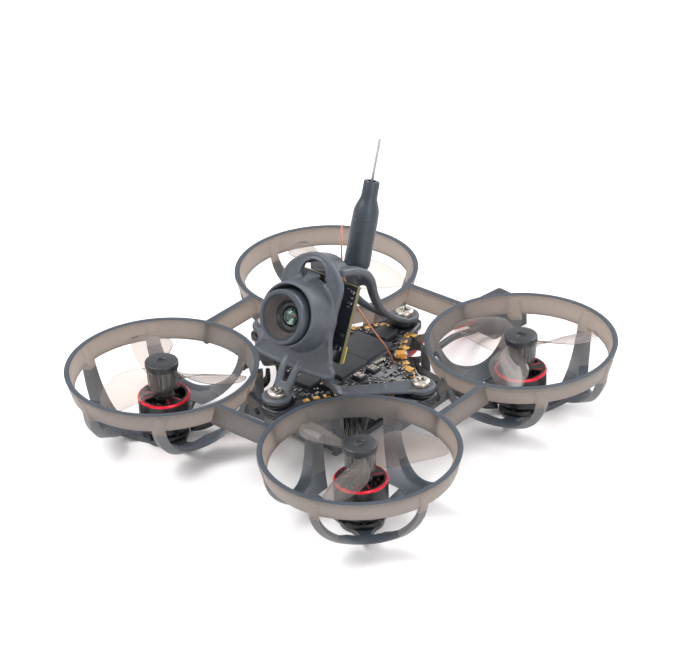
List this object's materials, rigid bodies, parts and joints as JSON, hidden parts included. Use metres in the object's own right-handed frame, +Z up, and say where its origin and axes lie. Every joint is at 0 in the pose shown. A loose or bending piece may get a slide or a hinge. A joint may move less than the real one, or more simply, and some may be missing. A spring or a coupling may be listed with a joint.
{
  "type": "quadcopter",
  "caption": "Palm-sized quadcopter with ducted three-bladed propellers on brushless motors, a smoky frame, a flight board on soft mounts and a tilted camera under a printed canopy.",
  "frame": {"origin": "On the ground under the middle of the flight board, with the drone standing on its motor plates.", "axes": "+Z up, nose (camera) towards -Y, +X towards the drone's left side."},
  "size_m": [0.081, 0.0913, 0.0529],
  "materials": {
    "frame_plastic": "smoky translucent moulding, warm grey",
    "canopy_print": "fine printed layers, dark blue-grey",
    "propeller_plastic": "clear smoky moulding",
    "bell_black": "black anodised with a red rim",
    "motor_metal": "black anodised",
    "core_lacquer": "dark lacquer",
    "copper": "enamelled copper",
    "steel": "plain",
    "nickel": "nickel plated, slightly warm",
    "board": "black solder mask",
    "chip": "moulded epoxy",
    "capacitor": "tan case",
    "grommet": "soft black",
    "lens_plastic": "black",
    "lens_glass": "coated",
    "plug_plastic": "black",
    "gold": "plated",
    "sleeve": "shrunk sleeve",
    "whip_grey": "pale grey",
    "lead_red": "soft silicone",
    "lead_black": "soft silicone"
  },
  "bodies": {
    "airframe": {"antenna_coax": "lead_black", "antenna_sleeve": "sleeve", "antenna_whip": "whip_grey", "battery_lead_black": "lead_black", "battery_lead_red": "lead_red", "battery_plug": "plug_plastic", "battery_plug_pins": "gold", "board_chips": "chip", "board_grommets": "grommet", "board_screws": "nickel", "camera_board": "board", "camera_plug": "plug_plastic", "canopy": "canopy_print", "duct_front_left": "frame_plastic", "duct_front_right": "frame_plastic", "duct_rear_left": "frame_plastic", "duct_rear_right": "frame_plastic", "filter_capacitor": "capacitor", "flight_board": "board", "frame_centre": "frame_plastic", "front_lens": "lens_glass", "image_sensor": "chip", "lens_barrel": "lens_plastic", "lens_holder": "lens_plastic", "motor_base_front_left": "motor_metal", "motor_base_front_right": "motor_metal", "motor_base_rear_left": "motor_metal", "motor_base_rear_right": "motor_metal", "motor_bearings": "steel", "motor_coils_front_left": "copper", "motor_coils_front_right": "copper", "motor_coils_rear_left": "copper", "motor_coils_rear_right": "copper", "motor_drivers": "chip", "motor_leads_front_left": "lead_black", "motor_leads_front_right": "lead_black", "motor_leads_rear_left": "lead_black", "motor_leads_rear_right": "lead_black", "motor_screws": "steel", "receiver_antenna": "copper", "stator_core_front_left": "core_lacquer", "stator_core_front_right": "core_lacquer", "stator_core_rear_left": "core_lacquer", "stator_core_rear_right": "core_lacquer"},
    "rotor_front_left": {"motor_bell_front_left": "bell_black", "motor_magnets_front_left": "steel", "motor_shaft_front_left": "steel", "propeller_front_left": "propeller_plastic"},
    "rotor_rear_left": {"motor_bell_rear_left": "bell_black", "motor_magnets_rear_left": "steel", "motor_shaft_rear_left": "steel", "propeller_rear_left": "propeller_plastic"},
    "rotor_rear_right": {"motor_bell_rear_right": "bell_black", "motor_magnets_rear_right": "steel", "motor_shaft_rear_right": "steel", "propeller_rear_right": "propeller_plastic"},
    "rotor_front_right": {"motor_bell_front_right": "bell_black", "motor_magnets_front_right": "steel", "motor_shaft_front_right": "steel", "propeller_front_right": "propeller_plastic"}
  },
  "joints": [
    {"name": "spin_front_left", "type": "hinge", "parent": "airframe", "child": "rotor_front_left", "pos_m": [0.02298, -0.02298, 0.009], "axis": [0, 0, 1], "continuous": true},
    {"name": "spin_rear_left", "type": "hinge", "parent": "airframe", "child": "rotor_rear_left", "pos_m": [0.02298, 0.02298, 0.009], "axis": [0, 0, 1], "continuous": true},
    {"name": "spin_rear_right", "type": "hinge", "parent": "airframe", "child": "rotor_rear_right", "pos_m": [-0.02298, 0.02298, 0.009], "axis": [0, 0, 1], "continuous": true},
    {"name": "spin_front_right", "type": "hinge", "parent": "airframe", "child": "rotor_front_right", "pos_m": [-0.02298, -0.02298, 0.009], "axis": [0, 0, 1], "continuous": true}
  ]
}
